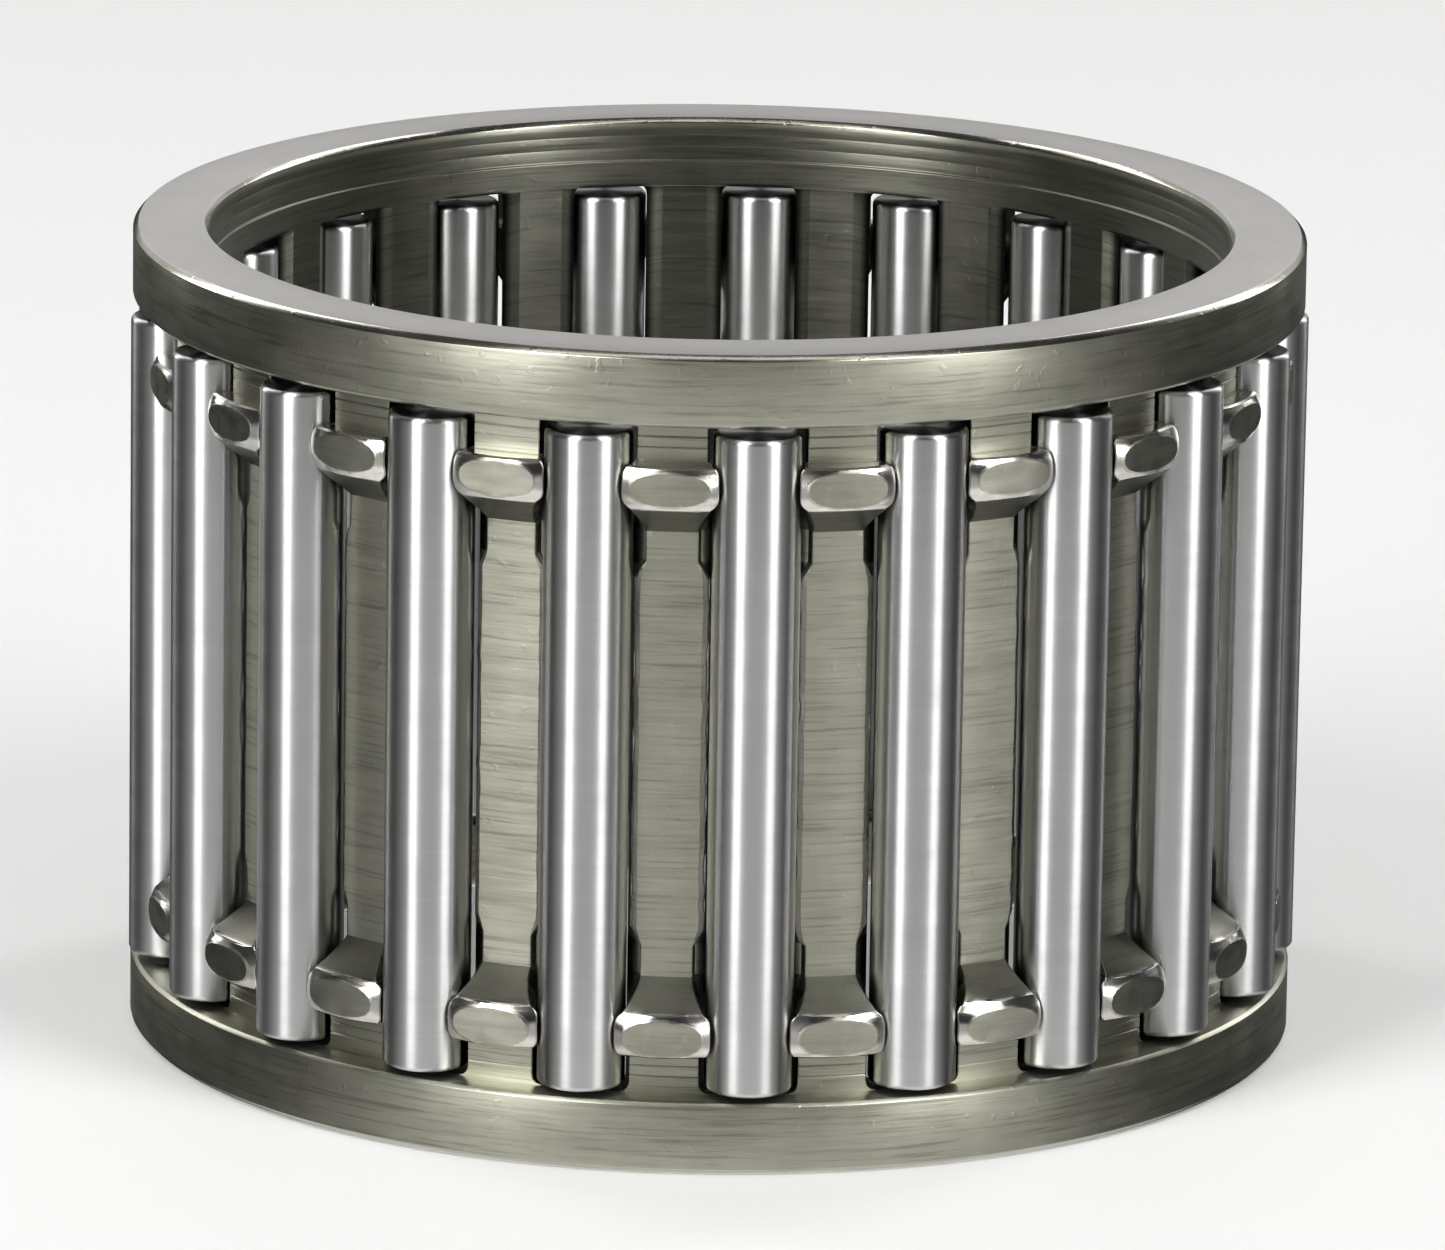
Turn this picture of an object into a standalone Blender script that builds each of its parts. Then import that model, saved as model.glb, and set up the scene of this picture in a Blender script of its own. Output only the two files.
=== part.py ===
"""Needle roller and cage assembly: one machined cage and its needle rollers.

Metres, +Z up along the bearing axis. The origin is the centre of the lower end face.
Each needle spins about its own axis in its pocket of the cage.
"""

import math

import bmesh
import bpy
from mathutils import Matrix

# Driving dimensions
NEEDLES = 21
WIDTH = 0.038                # cage width along Z
CAGE_RADIUS = 0.0273
BORE_RADIUS = 0.02365
PITCH_RADIUS = 0.0255        # from the bearing axis to each needle's axis
NEEDLE_RADIUS = 0.002
NEEDLE_LENGTH = 0.0305
NEEDLE_CORNER = 0.00035
NEEDLE_END_GAP = 0.0003      # between a needle's lower end and the ring's shoulder

# End rings
RING_HEIGHT = 0.00335
RING_CHAMFER = 0.00025
RELIEF_RADIUS = 0.02375      # the bore is a little wider near each end face
RELIEF_DEPTH = 0.00205
RING_SIDES = 84

# Bars between the pockets: heights above the nearer end face
BAR_ROOT = 0.0024            # each bar starts inside its ring
POCKET_FILLET = 0.0005
LUG_START = 0.0053
LUG_END = 0.00725
LUG_BEVEL = 0.0004
WEB_START = 0.00865
WEB_LIP_START = 0.0105

# Bars: distances from the bearing axis, measured along the bar's middle
BAR_INNER = 0.0239
NECK_OUTER = 0.0257
LUG_OUTER = 0.0269
WEB_OUTER = 0.0250
BAR_INNER_HALF_WIDTH = 0.00112

NEEDLE_SIDES = 24

PITCH_ANGLE = 2 * math.pi / NEEDLES


def clear_scene():
    for obj in list(bpy.data.objects):
        bpy.data.objects.remove(obj, do_unlink=True)


def make_material(name, colour, roughness):
    """A bare steel: a Principled material that is fully metallic."""
    material = bpy.data.materials.new(name)
    material.use_nodes = True
    shader = material.node_tree.nodes["Principled BSDF"]
    shader.inputs["Base Color"].default_value = (*colour, 1)
    shader.inputs["Metallic"].default_value = 1
    shader.inputs["Roughness"].default_value = roughness
    return material


def make_object(name, bm, material):
    mesh = bpy.data.meshes.new(name)
    bmesh.ops.recalc_face_normals(bm, faces=bm.faces)
    bm.to_mesh(mesh)
    bm.free()
    mesh.materials.append(material)
    obj = bpy.data.objects.new(name, mesh)
    bpy.context.scene.collection.objects.link(obj)
    return obj


def shade_round(mesh, angle=math.radians(35)):
    mesh.shade_smooth()
    mesh.set_sharp_from_angle(angle=angle)


def add_turned(bm, profile, sides):
    """Turns a closed profile of (radius, height) points round the Z axis."""
    corners = [bm.verts.new((radius, 0, height)) for radius, height in profile]
    edges = [
        bm.edges.new((corners[i - 1], corners[i])) for i in range(len(corners))
    ]
    bmesh.ops.spin(
        bm, geom=corners + edges, cent=(0, 0, 0), axis=(0, 0, 1),
        angle=2 * math.pi, steps=sides, use_merge=True,
    )


def ring_profile():
    """Half section of the lower end ring, from its outer corner round to its bore."""
    top, edge = RING_HEIGHT, RING_CHAMFER
    return [
        (CAGE_RADIUS - edge, 0),
        (CAGE_RADIUS, edge),
        (CAGE_RADIUS, top - edge),
        (CAGE_RADIUS - edge, top),
        (BORE_RADIUS, top),
        (BORE_RADIUS, RELIEF_DEPTH),
        (RELIEF_RADIUS, RELIEF_DEPTH),
        (RELIEF_RADIUS, edge),
        (RELIEF_RADIUS + edge, 0),
    ]


def bar_stations():
    """The lower half of a bar, as (height, [(half width, radius), ...]) from its bore side out."""
    inner = (BAR_INNER_HALF_WIDTH, BAR_INNER)
    neck = [inner, (0.00150, 0.0244), (0.00159, 0.0252), (0.00150, NECK_OUTER)]
    corner = [(half + POCKET_FILLET * 0.8, radius) for half, radius in neck]
    lug = [inner, (0.00155, 0.0257), (0.00222, 0.0267), (0.00170, LUG_OUTER)]
    lug_edge = [inner, (0.00150, 0.0255), (0.00190, 0.0262), (0.00150, 0.0263)]
    web_end = [inner, (0.00130, 0.0244), (0.00135, 0.0247), (0.00115, WEB_OUTER)]
    web = [inner, (0.00172, 0.0246), (0.00160, 0.0248), (0.00140, WEB_OUTER)]
    return [
        (BAR_ROOT, corner),
        (RING_HEIGHT, corner),
        (RING_HEIGHT + POCKET_FILLET, neck),
        (LUG_START, neck),
        (LUG_START + LUG_BEVEL, lug),
        (LUG_END - LUG_BEVEL, lug),
        (LUG_END, lug_edge),
        (WEB_START, web_end),
        (WEB_LIP_START, web),
    ]


def add_bar(bm):
    """Lofts one bar through its stations. Its middle plane holds the -Y axis."""
    lower = bar_stations()
    upper = [(WIDTH - height, section) for height, section in reversed(lower)]
    loops = []
    for height, section in lower + upper:
        right = [(half, -radius, height) for half, radius in section]
        left = [(-half, -radius, height) for half, radius in reversed(section)]
        verts = [bm.verts.new(co) for co in right + left]
        loops.append([
            bm.edges.new((verts[i - 1], verts[i])) for i in range(len(verts))
        ])
    for below, above in zip(loops, loops[1:]):
        bmesh.ops.bridge_loops(bm, edges=below + above)
    for end in (loops[0], loops[-1]):
        bmesh.ops.contextual_create(bm, geom=end)


def build_cage(material):
    """Two turned end rings and the bars between them, joined into one solid."""
    rings = bmesh.new()
    lower = ring_profile()
    add_turned(rings, lower, RING_SIDES)
    add_turned(rings, [(radius, WIDTH - height) for radius, height in lower], RING_SIDES)
    cage = make_object("cage", rings, material)

    bars = bmesh.new()
    add_bar(bars)
    turn(bars, bars.verts, PITCH_ANGLE / 2)
    first_bar = bars.verts[:] + bars.edges[:] + bars.faces[:]
    for i in range(1, NEEDLES):
        copy = bmesh.ops.duplicate(bars, geom=first_bar)["geom"]
        turn(bars, [item for item in copy if isinstance(item, bmesh.types.BMVert)], i * PITCH_ANGLE)
    bar_guide = make_object("bar_guide", bars, material)
    bar_guide.hide_render = True
    bar_guide.display_type = "WIRE"

    joined = cage.modifiers.new("join_bars", "BOOLEAN")
    joined.operation = "UNION"
    joined.solver = "EXACT"
    joined.object = bar_guide
    shade_round(cage.data)
    return cage


def turn(bm, verts, angle):
    """Turns these points about the bearing axis."""
    bmesh.ops.rotate(bm, verts=verts, cent=(0, 0, 0), matrix=Matrix.Rotation(angle, 3, "Z"))


def needle_mesh(material):
    """One needle turned about its own axis, its middle at the origin, with beveled end corners."""
    half, flat = NEEDLE_LENGTH / 2, NEEDLE_RADIUS - NEEDLE_CORNER
    profile = [
        (0, -half),
        (flat, -half),
        (NEEDLE_RADIUS, NEEDLE_CORNER - half),
        (NEEDLE_RADIUS, half - NEEDLE_CORNER),
        (flat, half),
        (0, half),
    ]
    bm = bmesh.new()
    corners = [bm.verts.new((radius, 0, height)) for radius, height in profile]
    edges = [bm.edges.new(pair) for pair in zip(corners, corners[1:])]
    bmesh.ops.spin(
        bm, geom=corners + edges, cent=(0, 0, 0), axis=(0, 0, 1),
        angle=2 * math.pi, steps=NEEDLE_SIDES, use_merge=True,
    )
    bmesh.ops.remove_doubles(bm, verts=bm.verts, dist=NEEDLE_CORNER / 100)
    bmesh.ops.recalc_face_normals(bm, faces=bm.faces)
    mesh = bpy.data.meshes.new("needle")
    bm.to_mesh(mesh)
    bm.free()
    mesh.materials.append(material)
    shade_round(mesh)
    return mesh


def build_needles(material):
    """One object for each needle. Its origin is on its own axis, where it spins."""
    mesh = needle_mesh(material)
    middle = RING_HEIGHT + NEEDLE_END_GAP + NEEDLE_LENGTH / 2
    for i in range(NEEDLES):
        angle = i * PITCH_ANGLE
        needle = bpy.data.objects.new(f"roller_{i + 1:02d}", mesh)
        needle.location = (
            PITCH_RADIUS * math.sin(angle), -PITCH_RADIUS * math.cos(angle), middle,
        )
        bpy.context.scene.collection.objects.link(needle)


def main():
    clear_scene()
    build_cage(make_material("cage_steel", (0.42, 0.41, 0.40), 0.38))
    build_needles(make_material("needle_steel", (0.62, 0.62, 0.63), 0.18))


main()
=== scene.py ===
import math
import random

import bmesh
import bpy
from mathutils import Matrix, Vector, noise


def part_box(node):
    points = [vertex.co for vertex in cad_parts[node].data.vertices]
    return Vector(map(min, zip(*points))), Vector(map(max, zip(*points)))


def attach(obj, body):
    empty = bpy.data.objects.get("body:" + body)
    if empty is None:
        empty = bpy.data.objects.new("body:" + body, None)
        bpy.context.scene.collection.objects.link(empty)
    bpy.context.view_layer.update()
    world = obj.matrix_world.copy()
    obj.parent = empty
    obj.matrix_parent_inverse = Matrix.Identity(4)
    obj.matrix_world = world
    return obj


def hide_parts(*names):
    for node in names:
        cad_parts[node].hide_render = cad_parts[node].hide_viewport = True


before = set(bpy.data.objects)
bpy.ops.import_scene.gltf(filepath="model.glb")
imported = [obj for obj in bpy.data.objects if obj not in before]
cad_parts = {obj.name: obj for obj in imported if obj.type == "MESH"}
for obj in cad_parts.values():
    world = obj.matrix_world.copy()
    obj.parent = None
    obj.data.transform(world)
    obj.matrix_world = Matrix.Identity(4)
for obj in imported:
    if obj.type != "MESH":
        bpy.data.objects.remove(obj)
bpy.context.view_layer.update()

mm = 0.001
cageLow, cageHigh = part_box("cage")
cageRadius = (cageHigh[0] - cageLow[0]) / 2
cageWidth = cageHigh[2] - cageLow[2]
needleNodes = sorted(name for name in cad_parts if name.startswith("roller_"))
pitchAngle = 2 * math.pi / len(needleNodes)
frontLow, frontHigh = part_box(needleNodes[0])
pitchRadius = -(frontLow[1] + frontHigh[1]) / 2      # the first needle stands on the -Y side


# Camera: stands a little to the left of the front needle and looks down on the upper ring

cameraValues = {
    "azimuth": -4.2,             # degrees round the bearing axis from -Y, to the left
    "elevation": 14.26,          # degrees that it looks down by
    "roll": 0.89,                # degrees
    "distance": 21.638,          # from the aimed point, in cage radii
    "aimAcross": 0.0144,         # the aimed point, from the centre of the upper face, in cage radii
    "aimDown": 0.7053,
    "lens": 313.7,               # millimetres on a 36 mm sensor
}


def makeCamera(values):
    swing = Matrix.Rotation(math.radians(values["azimuth"]), 3, "Z")
    tilt = math.radians(values["elevation"])
    forward = swing @ Vector((0, math.cos(tilt), -math.sin(tilt)))
    right = swing @ Vector((1, 0, 0))
    up = right.cross(forward)
    aim = swing @ Vector((values["aimAcross"], 0, -values["aimDown"])) * cageRadius
    aim.z += cageHigh[2]
    camera = bpy.data.objects.new("camera", bpy.data.cameras.new("camera"))
    camera.data.lens = values["lens"]
    camera.data.sensor_width = 36
    camera.data.clip_start = 0.05
    turned = Matrix((right, up, -forward)).transposed()
    turned = turned @ Matrix.Rotation(math.radians(values["roll"]), 3, "Z")
    camera.matrix_world = Matrix.Translation(
        aim - forward * values["distance"] * cageRadius) @ turned.to_4x4()
    bpy.context.scene.collection.objects.link(camera)
    bpy.context.scene.camera = camera


makeCamera(cameraValues)
print("camera placed")


# Shader maths: an expression on wrapped sockets adds the nodes

class Wire:
    def __init__(self, tree, socket):
        self.tree = tree
        self.socket = socket

    def node(self, kind, settings, inputs, output=0):
        made = self.tree.nodes.new(kind)
        for name, setting in settings.items():
            if name == "stops":
                while len(made.color_ramp.elements) < len(setting):
                    made.color_ramp.elements.new(0.5)
                for stop, (place, level) in zip(made.color_ramp.elements, setting):
                    stop.position = place
                    stop.color = (level, level, level, 1)
            else:
                setattr(made, name, setting)
        for name, value in inputs.items():
            if isinstance(value, Wire):
                self.tree.links.new(value.socket, made.inputs[name])
            else:
                made.inputs[name].default_value = value
        return Wire(self.tree, made.outputs[output])

    def maths(self, operation, *values):
        return self.node("ShaderNodeMath", {"operation": operation}, dict(enumerate(values)))

    def ease(self, low, high):
        return self.node("ShaderNodeMapRange", {"interpolation_type": "SMOOTHSTEP"}, {
            0: self, 1: low, 2: high})

    def __abs__(self):
        return self.maths("ABSOLUTE", self)

    def __add__(self, other):
        return self.maths("ADD", self, other)

    def __sub__(self, other):
        return self.maths("SUBTRACT", self, other)

    def __rsub__(self, other):
        return self.maths("SUBTRACT", other, self)

    def __mul__(self, other):
        return self.maths("MULTIPLY", self, other)

    def __pow__(self, other):
        return self.maths("POWER", self, other)

    __radd__ = __add__
    __rmul__ = __mul__


def startMaterial(name):
    material = bpy.data.materials.new(name)
    material.use_nodes = True
    tree = material.node_tree
    shader = tree.nodes["Principled BSDF"]
    shader.inputs["Metallic"].default_value = 1
    place = Wire(tree, tree.nodes.new("ShaderNodeTexCoord").outputs["Object"])
    return material, tree, shader, place


def plug(tree, wire, shader, name):
    tree.links.new(wire.socket, shader.inputs[name])


uprightRotation = 0.25           # a quarter turn: highlights stretch along the bearing axis


# Cage steel: turned walls, and a finish of its own on each kind of place, with painted shade
# darkening the bore, the pocket walls and the cones, and painted highlights making the end faces,
# the swaged rims and the web lips paler

turnedValues = {
    "dark": (0.27, 0.268, 0.215, 1),
    "light": (0.50, 0.495, 0.41, 1),
    "facedSheen": (0.64, 0.615, 0.61, 1),     # the end faces: paler and pinkish, partly their faced finish and partly a painted reflection of light from behind
    "fineTone": 0.75,            # how much each pattern moves the colour from dark to light
    "coarseTone": 0.40,
    "cloudTone": 0.35,
    "toneOffset": 0.25,
    "swagedSheenShare": 0.85,         # painted highlight: how far the swaged rims take on the end faces' paler colour
    # painted highlight: how far the web lips take on the end faces' paler colour
    "lipHighlightShare": 0.6,
    "roughness": 0.36,
    "roughnessSpread": 0.10,
    "anisotropic": 0.5,
    "lineSpacing": 0.15 * mm,    # between tool marks
    "coarseLines": 4,            # the coarse tool marks' spacing, in fine ones
    "lineLength": 5 * mm,
    "lineDepth": 0.010 * mm,
    "lineSlant": 0.6,            # carries the marks round from the walls onto the end faces
    "scoreShade": 0.22,          # how much darker the deepest marks are
    "bump": 0.6,
    "lugBump": 0.15,
    "coarseDepth": 1.8,          # in fine marks
    "nickDepth": 0.8,
    "cloudSize": 2.3 * mm,
    "nickSize": 0.5 * mm,
    "mottleSize": 0.9 * mm,
    "paintedBoreShade": 0.55,           # painted shade: how much darker the bore and the bars' inner sides are
    "pocketShade": 0.93,         # painted shade: how much darker the pocket walls beside the needles are
    # painted shade: how much darker the cone slopes between lugs and webs are
    "paintedConeShade": 0.68,
    "burnish": 0.50,             # how much smoother the swaged lugs and the broken edges are
}
zoneValues = {
    # where each zone starts and where it is complete: radii from the bearing axis, heights
    # from the nearer end face and reaches from the nearest needle's axis
    "facedHeight": (0.10 * mm, 0.03 * mm),
    # the bore and the bars' inner sides, drawn darker: painted shade
    "boreRadius": (24.50 * mm, 24.40 * mm),
    "boreHeight": (0.30 * mm, 0.60 * mm),
    "lugRadius": (25.95 * mm, 26.05 * mm),
    "lugFoot": (5.15 * mm, 5.25 * mm),
    "lugHead": (7.45 * mm, 7.30 * mm),
    "outerEdgeRadius": (27.00 * mm, 27.08 * mm),
    "outerEdgeHeight": (0.30 * mm, 0.24 * mm),
    "boreEdgeRadius": (24.02 * mm, 23.96 * mm),
    "boreEdgeHeight": (0.28 * mm, 0.22 * mm),
    "webHeight": (9.6 * mm, 10.4 * mm),
    # web lips drawn paler: painted highlight
    "lipReach": (2.44 * mm, 2.34 * mm),
    "lipRadius": (24.71 * mm, 24.76 * mm),
    # the swaged rims and mottled patches on the lugs, drawn paler: painted highlight
    "swagedRadius": (26.885 * mm, 26.85 * mm),
    "swagedMottle": (0.48, 0.66),
    "swagedShares": (0.75, 0.45),        # of the rim and of the mottling
    # the cone slopes between lugs and webs, drawn darker: painted shade
    "coneFoot": (7.28 * mm, 7.36 * mm),
    "coneHead": (8.68 * mm, 8.62 * mm),
    "coneRadius": (24.90 * mm, 24.98 * mm),
    # the pocket walls near the needles, drawn darker: painted shade
    "pocketReach": (2.75 * mm, 2.28 * mm),
    "pocketHeight": (3.15 * mm, 3.32 * mm),
    "pocketRim": 25.62 * mm,             # outer edge of a pocket's wall beside the necks
    "pocketRimDrop": 0.88 * mm,          # how much nearer to the axis it is along the web
    "pocketRimBlend": 0.04 * mm,
}


def needleReach(x, y, radius):
    # distance to the nearest needle's axis, with the turn round the bearing folded by pitches
    turn = (y.maths("ARCTAN2", y, x) + math.pi / 2) * (1 / pitchAngle) + 0.5
    turn = (turn.maths("FRACT", turn) - 0.5) * pitchAngle
    swing = turn.maths("COSINE", turn) * radius * (2 * pitchRadius)
    return (radius * radius + pitchRadius ** 2 - swing) ** 0.5


def makeZones(x, y, radius, fromEnd, mottle, values):
    reach = needleReach(x, y, radius)
    web = fromEnd.ease(*values["webHeight"])
    rim = values["pocketRim"] - web * values["pocketRimDrop"]
    blend = values["pocketRimBlend"]
    lug = radius.ease(*values["lugRadius"]) * fromEnd.ease(*values["lugFoot"])
    lug = lug * fromEnd.ease(*values["lugHead"])
    rimShare, mottleShare = values["swagedShares"]
    # painted highlight on the swaged rims and mottled lug faces; the same mask also makes them
    # smoother
    swagedSheen = radius.ease(*values["swagedRadius"]) * rimShare
    swagedSheen = swagedSheen + mottle.ease(*values["swagedMottle"]) * mottleShare
    # cone slopes drawn darker: painted shade
    coneShadow = fromEnd.ease(*values["coneFoot"]) * fromEnd.ease(*values["coneHead"])
    # pocket walls near the needles drawn darker: painted shade
    pocket = reach.ease(*values["pocketReach"]) * radius.ease(rim + blend, rim - blend)
    return {
        # end faces: paler, pinkish colour, partly faced finish and partly painted reflection
        "facedSheen": fromEnd.ease(*values["facedHeight"]),
        # bore and bars' inner sides drawn darker: painted shade
        "bore": radius.ease(*values["boreRadius"]) * fromEnd.ease(*values["boreHeight"]),
        "lug": lug,
        "outerEdge": radius.ease(*values["outerEdgeRadius"])
        * fromEnd.ease(*values["outerEdgeHeight"]),
        "boreEdge": radius.ease(*values["boreEdgeRadius"])
        * fromEnd.ease(*values["boreEdgeHeight"]),
        # web lips beside the needles drawn paler: painted highlight
        "lipHighlight": reach.ease(*values["lipReach"]) * radius.ease(*values["lipRadius"]) * web,
        "swagedSheen": swagedSheen * lug,
        "coneShadow": coneShadow * radius.ease(*values["coneRadius"]),
        "pocket": pocket * fromEnd.ease(*values["pocketHeight"]),
    }


def makeTurnedSteel(name, values, zoneEdges):
    material, tree, shader, place = startMaterial(name)
    parts = place.node("ShaderNodeSeparateXYZ", {}, {0: place})
    x, y, z = (Wire(tree, parts.socket.node.outputs[i]) for i in range(3))
    radius = (x * x + y * y) ** 0.5
    fromEnd = cageWidth / 2 - abs(z - cageWidth / 2)
    across = z + radius * values["lineSlant"]
    along = 1 / values["lineLength"]

    def toolMarks(spacing, detail):
        spot = place.node("ShaderNodeCombineXYZ", {}, {
            0: x * along, 1: y * along, 2: across * (1 / spacing)})
        return place.node("ShaderNodeTexNoise", {"noise_dimensions": "3D"}, {
            "Vector": spot, "Scale": 1, "Detail": detail, "Roughness": 0.6})

    def patches(size, detail):
        return place.node("ShaderNodeTexNoise", {}, {
            "Vector": place, "Scale": 1 / size, "Detail": detail})

    fine = toolMarks(values["lineSpacing"], 3)
    coarse = toolMarks(values["lineSpacing"] * values["coarseLines"], 2)
    cloud = patches(values["cloudSize"], 4)
    nicks = place.node("ShaderNodeValToRGB", {"stops": [(0.66, 0), (0.74, 1)]}, {
        0: patches(values["nickSize"], 1)})
    scored = place.node("ShaderNodeValToRGB", {"stops": [(0.34, 1), (0.44, 0)]}, {0: fine})
    zone = makeZones(x, y, radius, fromEnd, patches(values["mottleSize"], 3), zoneEdges)

    tone = fine * values["fineTone"] + coarse * values["coarseTone"]
    tone = tone + cloud * values["cloudTone"] - values["toneOffset"]
    colour = place.node("ShaderNodeMix", {"data_type": "RGBA"}, {
        0: tone, 6: values["dark"], 7: values["light"]}, 2)
    # painted highlights: the end faces, the swaged rims and the web lips are mixed towards the paler
    # end-face colour
    pale = zone["facedSheen"] + zone["swagedSheen"] * values["swagedSheenShare"] + zone["lipHighlight"] * values["lipHighlightShare"]
    colour = place.node("ShaderNodeMix", {"data_type": "RGBA"}, {
        0: pale * (cloud * 0.5 + 0.5), 6: colour, 7: values["facedSheen"]}, 2)
    # painted shade: the bore, the pocket walls and the cones are darkened
    shade = (1 - zone["bore"] * values["paintedBoreShade"]) * (1 - zone["pocket"] * values["pocketShade"])
    shade = shade * (1 - zone["coneShadow"] * values["paintedConeShade"])
    marked = scored * (1 - zone["facedSheen"]) * (1 - zone["lug"])
    shade = shade * (1 - marked * values["scoreShade"])
    colour = place.node("ShaderNodeVectorMath", {"operation": "SCALE"}, {0: colour, 3: shade})
    plug(tree, colour, shader, "Base Color")

    spread = values["roughnessSpread"]
    rough = values["roughness"] + (cloud - 0.5) * spread + (coarse - 0.5) * spread
    worn = zone["swagedSheen"] + zone["outerEdge"] + zone["boreEdge"]
    plug(tree, rough * (1 - worn * values["burnish"]), shader, "Roughness")

    height = fine + coarse * values["coarseDepth"] + nicks * values["nickDepth"]
    strength = values["bump"] - zone["lug"] * (values["bump"] - values["lugBump"])
    bump = place.node("ShaderNodeBump", {}, {
        "Strength": strength, "Distance": values["lineDepth"], "Height": height})
    plug(tree, bump, shader, "Normal")
    shader.inputs["Anisotropic"].default_value = values["anisotropic"]
    shader.inputs["Anisotropic Rotation"].default_value = uprightRotation
    return material


# Needle steel: ground along its length, with darker end faces

groundValues = {
    "dark": (0.47, 0.468, 0.465, 1),
    "light": (0.62, 0.617, 0.61, 1),
    "roughness": 0.32,
    "roughnessSpread": 0.12,
    "anisotropic": 0.94,
    "lineSpacing": 0.09 * mm,
    "lineLength": 4 * mm,
    "lineDepth": 0.0016 * mm,
    "bump": 0.4,
    "smearSize": 1.6 * mm,
    "endShade": 0.8,             # how much darker the unground end faces are
    "endStart": 0.03 * mm,       # in from the end face
    "endComplete": 0.01 * mm,
}


def makeGroundSteel(name, values):
    material, tree, shader, place = startMaterial(name)
    along, across = 1 / values["lineLength"], 1 / values["lineSpacing"]
    lines = place.node("ShaderNodeMapping", {}, {"Vector": place, "Scale": (along, along, across)})
    fine = place.node("ShaderNodeTexNoise", {}, {"Vector": lines, "Scale": 1, "Detail": 3})
    smear = place.node("ShaderNodeTexNoise", {}, {
        "Vector": place, "Scale": 1 / values["smearSize"], "Detail": 3})
    tone = fine * 0.5 + smear * 0.5
    colour = place.node("ShaderNodeMix", {"data_type": "RGBA"}, {
        0: tone, 6: values["dark"], 7: values["light"]}, 2)
    z = place.node("ShaderNodeSeparateXYZ", {}, {0: place}, 2)
    fromMiddle = abs(z - (frontLow[2] + frontHigh[2]) / 2)
    halfLength = (frontHigh[2] - frontLow[2]) / 2
    endFace = fromMiddle.ease(halfLength - values["endStart"], halfLength - values["endComplete"])
    colour = place.node("ShaderNodeVectorMath", {"operation": "SCALE"}, {
        0: colour, 3: 1 - endFace * values["endShade"]})
    plug(tree, colour, shader, "Base Color")
    rough = values["roughness"] + (tone - 0.5) * values["roughnessSpread"]
    plug(tree, rough, shader, "Roughness")
    bump = place.node("ShaderNodeBump", {}, {
        "Strength": values["bump"], "Distance": values["lineDepth"],
        "Height": fine + smear * 0.5})
    plug(tree, bump, shader, "Normal")
    shader.inputs["Anisotropic"].default_value = values["anisotropic"]
    shader.inputs["Anisotropic Rotation"].default_value = uprightRotation
    return material


turnedSteel = makeTurnedSteel("turnedSteel", turnedValues, zoneValues)
groundSteel = makeGroundSteel("groundSteel", groundValues)
print("materials made")


# Turning and finishing

def addTurned(bm, profile, steps, closed=True):
    corners = [bm.verts.new((radius, 0, height)) for radius, height in profile]
    pairs = list(zip(corners, corners[1:]))
    if closed:
        pairs.append((corners[-1], corners[0]))
    edges = [bm.edges.new(pair) for pair in pairs]
    bmesh.ops.spin(bm, geom=corners + edges, cent=(0, 0, 0), axis=(0, 0, 1),
                   angle=2 * math.pi, steps=steps, use_merge=True)


def makePiece(name, bm, material, shadingAngle=30):
    bmesh.ops.recalc_face_normals(bm, faces=bm.faces)
    mesh = bpy.data.meshes.new(name)
    bm.to_mesh(mesh)
    bm.free()
    mesh.materials.append(material)
    mesh.shade_smooth()
    mesh.set_sharp_from_angle(angle=math.radians(shadingAngle))
    piece = bpy.data.objects.new(name, mesh)
    bpy.context.scene.collection.objects.link(piece)
    return piece


# Cage: two turned end rings and a bar between each two pockets

ringValues = {
    "height": 3.35 * mm,
    "boreRadius": 23.65 * mm,
    "reliefRadius": 23.75 * mm,
    "reliefDepth": 2.05 * mm,
    "outerBevel": 0.26 * mm,     # end face to outer wall
    "shoulderBevel": 0.16 * mm,
    "boreBevel": 0.22 * mm,
    "reliefSlope": 0.05 * mm,
    "grooves": (1.45 * mm, 0.85 * mm),   # heights of the shallow turned grooves in the bore
    "grooveDepth": 0.014 * mm,
    "grooveAbove": 0.06 * mm,    # how far each groove's sides reach
    "grooveBelow": 0.10 * mm,
    "edgeRound": 0.03 * mm,
    "sharpAngle": 30,            # degrees: sharper edges are rounded
    "steps": 336,
}


def ringProfile(values):
    outer, top = cageRadius, values["height"]
    relief, bore = values["reliefRadius"], values["boreRadius"]
    groove = values["grooveDepth"]
    profile = [
        (relief + values["boreBevel"], 0),
        (outer - values["outerBevel"], 0),
        (outer, values["outerBevel"]),
        (outer, top - values["shoulderBevel"]),
        (outer - values["shoulderBevel"], top),
        (bore, top),
        (bore, values["reliefDepth"] + values["reliefSlope"]),
        (relief, values["reliefDepth"]),
    ]
    for height in values["grooves"]:
        profile += [(relief, height + values["grooveAbove"]), (relief + groove, height),
                    (relief, height - values["grooveBelow"])]
    profile.append((relief, values["boreBevel"]))
    return profile


def addRing(bm, values, upper):
    ring = bmesh.new()
    addTurned(ring, ringProfile(values), values["steps"])
    bmesh.ops.recalc_face_normals(ring, faces=ring.faces)
    sharp = math.radians(values["sharpAngle"])
    corners = [edge for edge in ring.edges
               if len(edge.link_faces) == 2 and edge.calc_face_angle(0) > sharp]
    bmesh.ops.bevel(ring, geom=corners, offset=values["edgeRound"], segments=2,
                    profile=0.5, affect="EDGES", material=-1)
    if upper:
        bmesh.ops.rotate(ring, verts=ring.verts, cent=(0, 0, cageWidth / 2),
                         matrix=Matrix.Rotation(math.pi, 3, "X"))
    joinInto(bm, ring)


def joinInto(bm, part):
    held = bpy.data.meshes.new("held")
    part.to_mesh(held)
    part.free()
    bm.from_mesh(held)
    bpy.data.meshes.remove(held)


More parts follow.
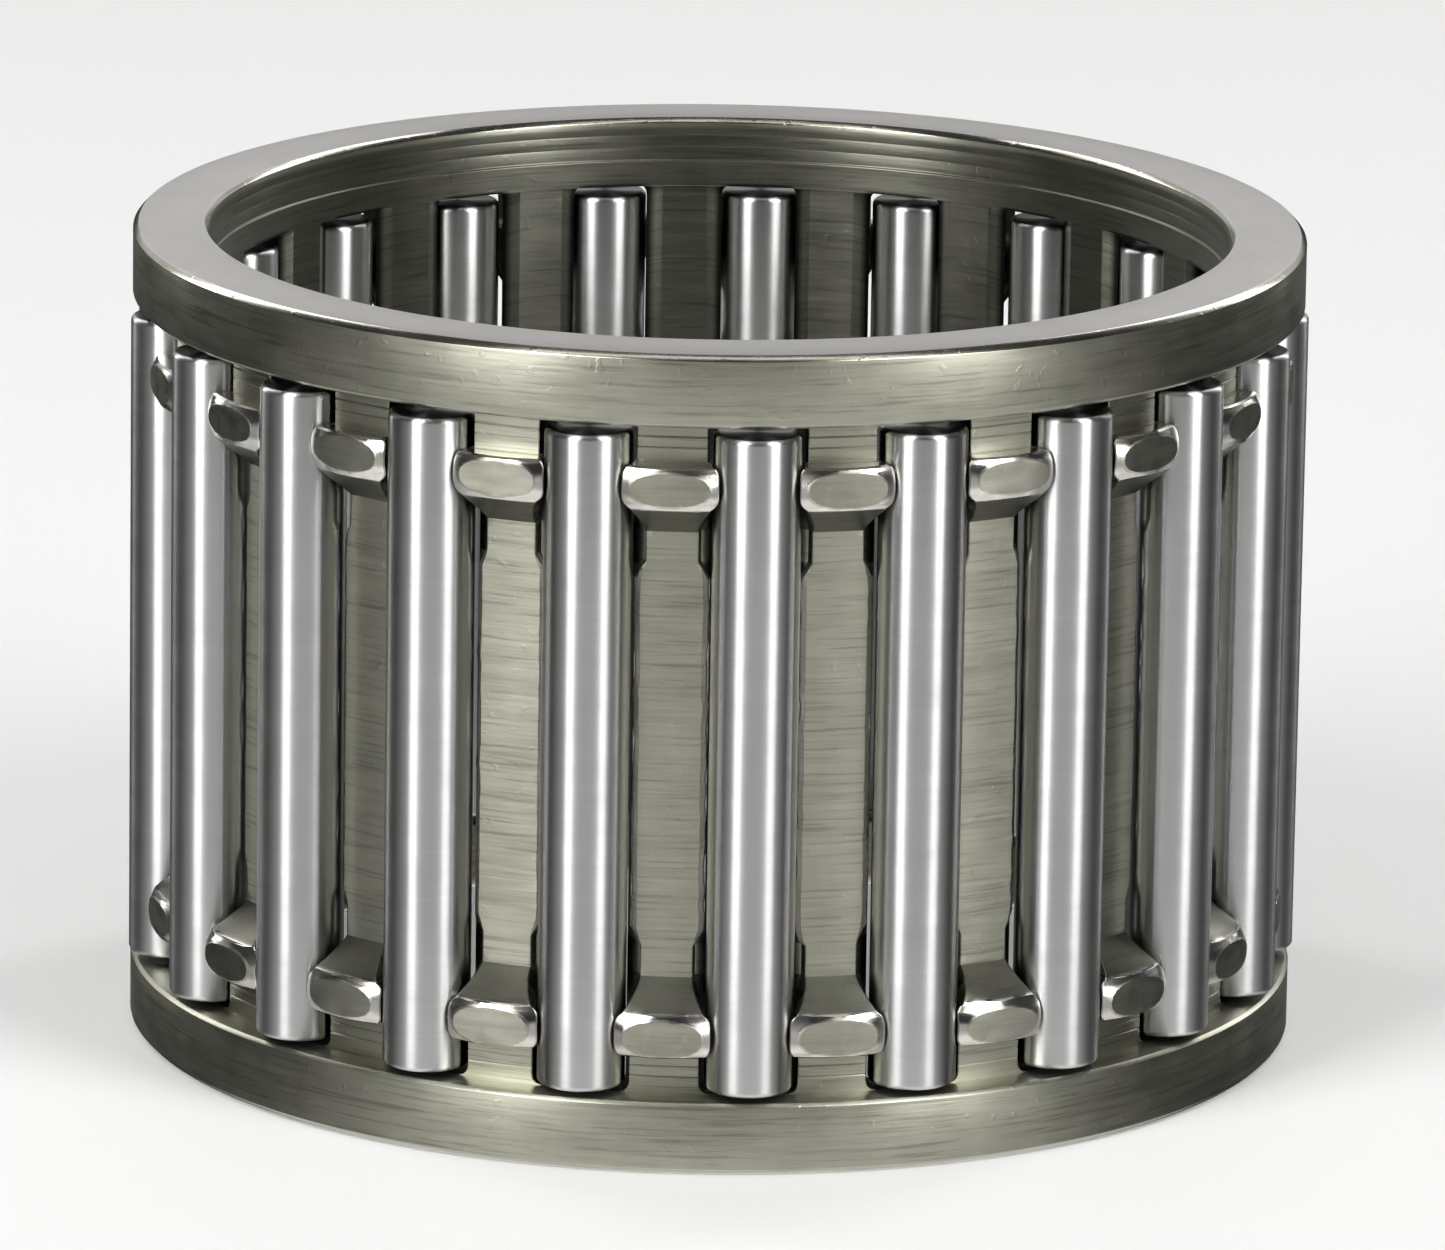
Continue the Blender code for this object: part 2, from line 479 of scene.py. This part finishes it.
barValues = {
    # millimetres: half widths are from the bar's middle, radii from the bearing axis and
    # heights from the nearer end face
    "inner": (1.12, 23.9),
    "innerChamfer": (0.05, 0.07),
    "root": 2.5,                 # each bar starts inside its ring
    "faceStep": 0.04,            # rounds the corner between a bar's face and its side
    "sideStep": (0.02, 0.10),
    "neckHalf": 1.585,
    "neckRadius": 25.70,
    "neckEdge": 0.12,
    "neckGrooves": (4.12, 4.62),
    "grooveDepth": 0.04,
    "grooveHalf": 0.05,
    "pocketFillet": 0.5,
    "filletStart": 3.35,
    "filletHeights": (3.35, 3.42, 3.52, 3.66, 3.85),
    "lugStart": 5.30,
    "lugEnd": 7.25,
    "nearLugStart": (-0.12, -0.02, 0, 0.03, 0.08),       # sections below and above each
    "nearLugEnd": (-0.08, -0.03, 0),
    "lugHalf": 2.21,
    "lugRadius": 26.93,
    "lugCorners": (0.12, 0.15),  # shares of the half width, below and above
    "lugCornerPower": 5,
    "lugEdge": 0.15,
    "lugFootInset": 0.08,
    "lugFootHeight": 0.07,
    "ovalShare": 0.82,           # of the lug's half width
    "ovalLeast": 0.30,           # of the oval's own half width
    "ovalPower": 2.4,
    "ovalHeights": (0, 0.35, 0.65, 0.85, 0.96, 1),
    "rimSlope": 0.46,            # how fast the swaged rim falls away round the oval
    "dent": 0.034,
    "dentRates": (1.3, 1.5),
    "coneRadius": 26.72,
    "coneEnd": 8.65,
    "coneHalf": 1.20,
    "coneWide": 0.85,            # of the lug's half width
    "conePower": 1.6,
    "coneSlope": 0.9,
    "coneSteps": 7,
    "coneGap": 0.05,
    "webRadius": 25.0,
    "webEndHalf": 1.13,
    "webEndEdge": 0.08,
    "webEndFall": 0.03,
    "webEndHeights": (8.72, 9.2, 9.8, 10.1),
    "webHalf": 1.40,
    "lipHalf": 1.66,
    "lipFall": 0.17,
    "lipStart": 10.3,
    "lipRise": (0.25, 0.30),     # below and above its start
    "burr": 0.11,
    "burrRates": (1.7, 5.1),
    "fineBurr": 0.6,
    "step": 0.58,                # between stations along the web
    "leastStep": 0.015,          # nearer stations are left out
    "seed": 5,
    "shadingAngle": 17,          # degrees: edges sharper than this are shaded as corners
    # the pocket wall, as (half width, radius), follows the needle round 0.1 to 0.2 from it
    "neckWall": [(1.60, 25.50), (1.635, 25.20), (1.76, 24.60), (1.84, 24.30)],
    "lugWall": [(1.80, 26.05), (1.66, 25.40), (1.76, 24.60), (1.84, 24.30)],
    "webEndWall": [(1.22, 24.72), (1.25, 24.48), (1.50, 24.38), (1.84, 24.28)],
    "webWall": [(1.69, 24.74), (1.72, 24.68), (1.76, 24.58), (1.84, 24.30)],
}
lugValues = {
    # the range that each lug's own shape is drawn from
    "shift": (-0.12, 0.05),      # of the oval along the bar
    "tall": (0.74, 0.86),
    "wide": (0.975, 1.0),
    "low": (0, 0.03),
    "late": (-0.1, 0.5),         # start of the web's lip beside it
    "mark": (0, 100),            # place in the noise
}


def smooth(low, high, value):
    share = min(1, max(0, (value - low) / (high - low)))
    return share * share * (3 - 2 * share)


def mix(first, second, share):
    return first + (second - first) * share


def mixWalls(first, second, share):
    return [(mix(a[0], b[0], share), mix(a[1], b[1], share)) for a, b in zip(first, second)]


def lugMiddle(values, lug):
    middle = (values["lugStart"] + values["lugEnd"]) / 2
    reach = (values["lugEnd"] - values["lugStart"]) / 2
    return middle + lug["shift"] * reach, lug["tall"] * reach


def stationHeights(values, lug):
    # heights of the sections that a bar is lofted through, up to its middle
    end, lipStart = values["lugEnd"], values["lipStart"]
    heights = [values["root"], *values["filletHeights"]]
    for groove in values["neckGrooves"]:
        heights += [groove - values["grooveHalf"], groove, groove + values["grooveHalf"]]
    heights += [values["lugStart"] + offset for offset in values["nearLugStart"]]
    heights += [end + offset for offset in values["nearLugEnd"]]
    middle, reach = lugMiddle(values, lug)
    for share in values["ovalHeights"]:
        heights += [middle - reach * share, middle + reach * share]
    steps, coneStart = values["coneSteps"], end + values["coneGap"]
    heights += [mix(coneStart, values["coneEnd"], i / (steps - 1)) for i in range(steps)]
    heights += values["webEndHeights"]
    half = cageWidth / mm / 2
    count = round((half - lipStart) / values["step"])
    heights += [mix(lipStart, half, i / count) for i in range(count + 1)]
    kept = []
    for height in sorted(heights):
        if not kept or height - kept[-1] > values["leastStep"]:
            kept.append(height)
    return kept


def ovalHalf(values, height, lug):
    middle, reach = lugMiddle(values, lug)
    power = values["ovalPower"]
    share = max(0, 1 - abs((height - middle) / reach) ** power) ** (1 / power)
    return values["ovalShare"] * values["lugHalf"] * max(values["ovalLeast"], share)


def lugRadiusAt(values, x, height, lug):
    # a flat oval, and round it a rim that falls away
    middle, reach = lugMiddle(values, lug)
    power = values["ovalPower"]
    wide = values["ovalShare"] * values["lugHalf"]
    out = (abs(x / wide) ** power + abs((height - middle) / reach) ** power) ** (1 / power)
    fall = math.hypot(x, height - middle) * (1 - 1 / max(1, out)) * values["rimSlope"]
    acrossRate, alongRate = values["dentRates"]
    spot = Vector((x * acrossRate, height * alongRate, lug["mark"]))
    return values["lugRadius"] - lug["low"] - fall - values["dent"] * noise.noise(spot)


# Each of these gives the outside of one half section: the half widths of its face and of
# its edge, the radius at any distance from its middle, and the pocket wall under it

def neckCurve(values, height, side, lug):
    fillet = values["pocketFillet"]
    nearest = min(abs(height - groove) for groove in values["neckGrooves"])
    cut = values["grooveDepth"] if nearest < values["grooveHalf"] / 5 else 0
    far = fillet - min(fillet, max(0, height - values["filletStart"]))
    flare = fillet - math.sqrt(max(0, fillet ** 2 - far ** 2))
    half = values["neckHalf"] + flare
    wall = [(x + flare, radius) for x, radius in values["neckWall"]]
    return half - values["neckEdge"], half, lambda x: values["neckRadius"] - cut, wall


def lugCurve(values, height, side, lug):
    start, end = values["lugStart"], values["lugEnd"]
    across = 2 * (height - start) / (end - start) - 1
    corner = abs(across) ** values["lugCornerPower"] * values["lugCorners"][across >= 0]
    inset = values["lugFootInset"] * smooth(values["lugFootHeight"], 0, height - start)
    half = values["lugHalf"] * (1 - corner) * lug["wide"][side] - inset
    face = min(ovalHalf(values, height, lug), half - values["lugEdge"])
    return face, half, lambda x: lugRadiusAt(values, x, height, lug) - inset, values["lugWall"]


def coneCurve(values, height, side, lug):
    end = values["lugEnd"]
    share = (height - end) / (values["coneEnd"] - end)
    wide = values["coneWide"] * values["lugHalf"] * lug["wide"][side]
    half = mix(values["coneHalf"], wide, (1 - share) ** values["conePower"])
    turned = mix(values["coneRadius"], values["webRadius"], share)

    def coneRadiusAt(x):
        fallen = lugRadiusAt(values, x, end, lug) - values["coneSlope"] * (height - end)
        return min(turned, fallen)

    wall = mixWalls(values["lugWall"], values["webEndWall"], share)
    return half - values["lugEdge"], half, coneRadiusAt, wall


def webCurve(values, height, side, lug):
    below, above = values["lipRise"]
    start, burr = values["lipStart"], values["burr"]
    wide = smooth(start - below, start + above + lug["late"][side], height)
    slow, fast = values["burrRates"]
    jag = noise.noise(Vector((height * slow, side * 9 + lug["mark"], 0)))
    jag += values["fineBurr"] * noise.noise(Vector((height * fast, side * 7 + lug["mark"], 3)))
    narrow = values["webEndHalf"]
    half = mix(narrow + values["webEndEdge"], values["lipHalf"] + burr * jag, wide)
    face = mix(narrow, values["webHalf"] + burr * 0.5 * jag, wide)
    fall = mix(values["webEndFall"], values["lipFall"] + burr * jag, wide)

    def webRadiusAt(x):
        return values["webRadius"] - max(0, x - face) / (half - face) * fall

    return face, half, webRadiusAt, mixWalls(values["webEndWall"], values["webWall"], wide)


def outerCurve(values, height, side, lug):
    if height < values["lugStart"]:
        return neckCurve(values, height, side, lug)
    if height <= values["lugEnd"]:
        return lugCurve(values, height, side, lug)
    if height <= values["coneEnd"]:
        return coneCurve(values, height, side, lug)
    return webCurve(values, height, side, lug)


def halfSection(values, height, side, lug):
    face, half, radiusAt, wall = outerCurve(values, height, side, lug)
    innerHalf, inner = values["inner"]
    chamferOut, chamferUp = values["innerChamfer"]
    sideIn, sideDown = values["sideStep"]
    step = values["faceStep"]
    places = [face * i / 4 for i in range(5)] + [mix(face, half, 0.5), half - step]
    points = [(x, radiusAt(x)) for x in places]
    points.append((half, radiusAt(half) - step))
    points.append((half - sideIn, radiusAt(half) - sideDown))
    points += wall
    points.append((innerHalf + chamferOut, inner + chamferUp))
    points.append((innerHalf - chamferOut, inner))
    points.append((innerHalf * 0.4, inner))
    return points


def makeLugShape(chance, values):
    return {
        "shift": chance.uniform(*values["shift"]),
        "tall": chance.uniform(*values["tall"]),
        "wide": [chance.uniform(*values["wide"]) for side in range(2)],
        "low": chance.uniform(*values["low"]),
        "late": [chance.uniform(*values["late"]) for side in range(2)],
        "mark": chance.uniform(*values["mark"]),
    }


def addBar(bm, values, chance, angle):
    bar = bmesh.new()
    total = cageWidth / mm
    lugs = [makeLugShape(chance, lugValues), makeLugShape(chance, lugValues)]
    lower, upper = (stationHeights(values, lug) for lug in lugs)
    stations = [(height, height, lugs[0]) for height in lower]
    stations += [(height, total - height, lugs[1]) for height in reversed(upper[:-1])]
    loops = []
    for height, place, lug in stations:
        right = halfSection(values, height, 0, lug)
        left = halfSection(values, height, 1, lug)
        outline = right + [(0, values["inner"][1])] + [(-x, r) for x, r in reversed(left[1:])]
        verts = [bar.verts.new((x * mm, -math.sqrt(r * r - x * x) * mm, place * mm))
                 for x, r in outline]
        loops.append([bar.edges.new((verts[i - 1], verts[i])) for i in range(len(verts))])
    for below, above in zip(loops, loops[1:]):
        bmesh.ops.bridge_loops(bar, edges=below + above)
    for end in (loops[0], loops[-1]):
        bmesh.ops.contextual_create(bar, geom=end)
    bmesh.ops.rotate(bar, verts=bar.verts, cent=(0, 0, 0),
                     matrix=Matrix.Rotation(angle, 3, "Z"))
    joinInto(bm, bar)


def makeCage():
    rings = bmesh.new()
    for upper in (False, True):
        addRing(rings, ringValues, upper)
    ringPiece = makePiece("endRings", rings, turnedSteel)
    bars = bmesh.new()
    chance = random.Random(barValues["seed"])
    for i in range(len(needleNodes)):
        addBar(bars, barValues, chance, (i + 0.5) * pitchAngle)
    barPiece = makePiece("bars", bars, turnedSteel)
    joined = ringPiece.modifiers.new("join", "BOOLEAN")
    joined.operation = "UNION"
    joined.solver = "EXACT"
    joined.object = barPiece
    graph = bpy.context.evaluated_depsgraph_get()
    mesh = bpy.data.meshes.new_from_object(ringPiece.evaluated_get(graph))
    for piece in (ringPiece, barPiece):
        bpy.data.objects.remove(piece)
    joinedCage = bmesh.new()
    joinedCage.from_mesh(mesh)
    bpy.data.meshes.remove(mesh)
    return makePiece("machinedCage", joinedCage, turnedSteel, barValues["shadingAngle"])


cagePiece = makeCage()
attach(cagePiece, "cage")
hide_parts("cage")
print("cage made:", len(cagePiece.data.polygons), "faces")


# Needles: ground pins with rounded end corners

needleValues = {
    "cornerRadius": 0.26 * mm,
    "cornerSteps": 5,
    "flatShare": 0.45,           # of the radius: the end face's inner circle
    "bands": (0.25, 0.5, 0.75),  # of the length: rings of edges along the side
    "mergeWithin": 0.002 * mm,   # joins the turned points that lie on the needle's axis
    "shadingAngle": 40,
    "steps": 72,
}


def needleProfile(radius, length, values):
    corner, count = values["cornerRadius"], values["cornerSteps"]
    lower = [(0, 0), (radius * values["flatShare"], 0)]
    for i in range(count + 1):
        turn = math.pi / 2 * i / count
        lower.append((radius - corner + corner * math.sin(turn), corner - corner * math.cos(turn)))
    upper = [(r, length - height) for r, height in reversed(lower)]
    middle = [(radius, length * share) for share in values["bands"]]
    return lower + middle + upper


def makeNeedle(node, values):
    low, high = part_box(node)
    axis = ((low[0] + high[0]) / 2, (low[1] + high[1]) / 2)
    radius = (high[1] - low[1]) / 2
    needle = bmesh.new()
    addTurned(needle, needleProfile(radius, high[2] - low[2], values), values["steps"], False)
    bmesh.ops.remove_doubles(needle, verts=needle.verts, dist=values["mergeWithin"])
    bmesh.ops.translate(needle, verts=needle.verts, vec=(*axis, low[2]))
    piece = makePiece(node.replace("roller_", "needle"), needle, groundSteel, values["shadingAngle"])
    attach(piece, node)
    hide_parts(node)


for node in needleNodes:
    makeNeedle(node, needleValues)
print("needles made:", len(needleNodes))


# Studio: pale floor with a light of its own, two tall strip softboxes in front and two
# behind, a narrow one overhead, and grey surroundings for the steel to mirror

studioValues = {
    "floorColour": (0.70, 0.70, 0.695, 1),
    "floorRoughness": 0.55,
    "floorRadius": 2.0,
    "softboxes": [
        # name, azimuth, elevation, distance, width, height, watts
        ("leftStrip", -40.5, 31, 0.80, 0.29, 0.80, 6.4),
        ("rightStrip", 46.5, 31, 0.80, 0.29, 0.80, 5.6),
        ("overhead", 0, 76, 0.80, 0.70, 0.09, 0.5),
        ("backLeft", -128, 31, 0.80, 0.17, 0.80, 1.8),
        ("backRight", 134, 31, 0.80, 0.17, 0.80, 1.8),
    ],
    "fill": (2.5, 3.0, 20),      # the floor's own light: height, size and watts
    # the surroundings: how bright, and where each part fades in, as shares of the way
    # towards the camera or of the way up
    "sides": 0.04,
    "front": 0.62,
    "frontTowards": (-0.25, 0.95),
    "frontHeight": (0.16, -0.14),
    "behind": 0.74,
    "behindTowards": (-0.1, -0.85),
    "behindLow": (0.0, 0.18),
    "behindHigh": (0.75, 0.45),
    "below": 1.0,
    "belowHeight": (-0.45, -0.80),
}


def makeSoftbox(name, azimuth, elevation, distance, width, height, watts):
    light = bpy.data.lights.new(name, "AREA")
    light.shape = "RECTANGLE"
    light.size = width
    light.size_y = height
    light.energy = watts
    box = bpy.data.objects.new(name, light)
    turn = math.radians(azimuth + cameraValues["azimuth"])
    rise = math.radians(elevation)
    away = Vector((math.sin(turn) * math.cos(rise), -math.cos(turn) * math.cos(rise),
                   math.sin(rise)))
    middle = Vector((0, 0, cageWidth / 2))
    box.location = middle + away * distance
    box.rotation_euler = away.to_track_quat("Z", "Y").to_euler()
    box.visible_camera = False
    bpy.context.scene.collection.objects.link(box)


def makeFill(height, size, watts):
    light = bpy.data.lights.new("fill", "AREA")
    light.size = size
    light.energy = watts
    panel = bpy.data.objects.new("fill", light)
    panel.location = (0, 0, height)
    panel.visible_glossy = False
    panel.visible_camera = False
    bpy.context.scene.collection.objects.link(panel)


def makeSurroundings(values):
    world = bpy.data.worlds.new("studio")
    world.use_nodes = True
    tree = world.node_tree
    way = Wire(tree, tree.nodes.new("ShaderNodeTexCoord").outputs["Generated"])
    turn = math.radians(cameraValues["azimuth"])
    towards = way.node("ShaderNodeVectorMath", {"operation": "DOT_PRODUCT"}, {
        0: way, 1: (math.sin(turn), -math.cos(turn), 0)}, 1)
    height = way.node("ShaderNodeVectorMath", {"operation": "DOT_PRODUCT"}, {
        0: way, 1: (0, 0, 1)}, 1)

    front = towards.ease(*values["frontTowards"]) * height.ease(*values["frontHeight"])
    behind = towards.ease(*values["behindTowards"]) * height.ease(*values["behindLow"])
    behind = behind * height.ease(*values["behindHigh"])
    below = height.ease(*values["belowHeight"])
    level = front * values["front"] + behind * values["behind"]
    level = level + below * values["below"] + values["sides"]
    background = tree.nodes["Background"]
    tree.links.new(level.socket, background.inputs["Color"])
    bpy.context.scene.world = world


def makeStudio(values):
    floor = bmesh.new()
    bmesh.ops.create_circle(floor, cap_ends=True, segments=96, radius=values["floorRadius"])
    material = bpy.data.materials.new("floorPaint")
    material.use_nodes = True
    shader = material.node_tree.nodes["Principled BSDF"]
    shader.inputs["Base Color"].default_value = values["floorColour"]
    shader.inputs["Roughness"].default_value = values["floorRoughness"]
    piece = makePiece("floor", floor, material)
    piece.visible_glossy = False
    for softbox in values["softboxes"]:
        makeSoftbox(*softbox)
    makeFill(*values["fill"])
    makeSurroundings(values)
    bpy.context.scene.view_settings.view_transform = "Standard"


makeStudio(studioValues)
print("studio made")
